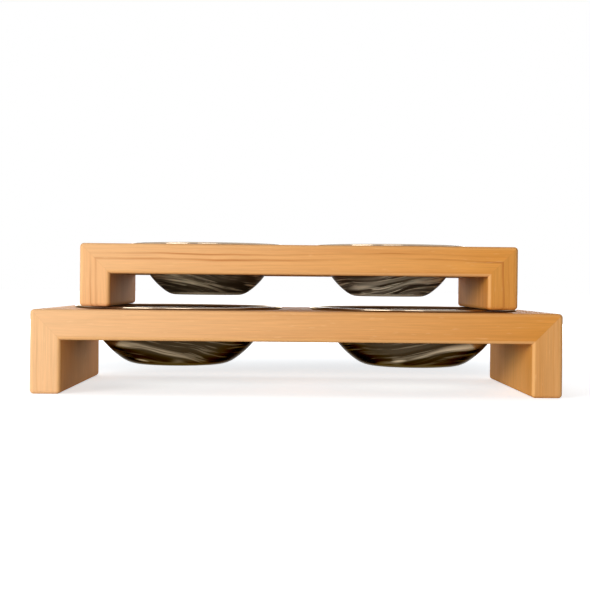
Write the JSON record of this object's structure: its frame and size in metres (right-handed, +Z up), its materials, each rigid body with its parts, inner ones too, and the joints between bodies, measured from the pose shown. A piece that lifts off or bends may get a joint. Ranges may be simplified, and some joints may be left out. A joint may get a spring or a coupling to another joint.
{
  "type": "dog bowl stand",
  "caption": "Stacked raised feeders for dogs: a small mitred wooden stand on the bowl rims of a large one, with flanged steel bowls hanging in round holes of the boards.",
  "frame": {"origin": "on the floor, under the middle of the large stand", "axes": "+X along the stands towards the right leg, +Y from the front to the back, +Z up"},
  "size_m": [0.552, 0.27, 0.1602],
  "materials": {
    "large_plank": "pale straight-grained softwood, satin varnish",
    "small_plank": "honey-coloured softwood with darker grain lines, satin varnish",
    "beech": "compressed beech, unfinished",
    "bowl_steel": "polished stainless steel sheet"
  },
  "bodies": {
    "large_stand": {"large_top_board": "large_plank", "large_left_leg": "large_plank", "large_right_leg": "large_plank", "large_left_biscuits": "beech", "large_right_biscuits": "beech"},
    "large_left_bowl": {"large_left_bowl": "bowl_steel"},
    "large_right_bowl": {"large_right_bowl": "bowl_steel"},
    "small_stand": {"small_top_board": "small_plank", "small_left_leg": "small_plank", "small_right_leg": "small_plank", "small_left_biscuits": "beech", "small_right_biscuits": "beech"},
    "small_left_bowl": {"small_left_bowl": "bowl_steel"},
    "small_right_bowl": {"small_right_bowl": "bowl_steel"}
  },
  "joints": [
    {"name": "small_stand_lift", "type": "slide", "parent": "large_stand", "child": "small_stand", "axis": [0, 0, 1], "range_m": [0, 0.15]},
    {"name": "small_left_bowl_lift", "type": "slide", "parent": "small_stand", "child": "small_left_bowl", "axis": [0, 0, 1], "range_m": [0, 0.07]},
    {"name": "small_right_bowl_lift", "type": "slide", "parent": "small_stand", "child": "small_right_bowl", "axis": [0, 0, 1], "range_m": [0, 0.07]},
    {"name": "large_left_bowl_lift", "type": "slide", "parent": "large_stand", "child": "large_left_bowl", "axis": [0, 0, 1], "range_m": [0, 0.075]},
    {"name": "large_right_bowl_lift", "type": "slide", "parent": "large_stand", "child": "large_right_bowl", "axis": [0, 0, 1], "range_m": [0, 0.075]}
  ],
  "couplings": [
    {"joint": "large_left_bowl_lift", "follows": "small_stand_lift", "ratio": 0.5},
    {"joint": "large_right_bowl_lift", "follows": "small_stand_lift", "ratio": 0.5}
  ]
}
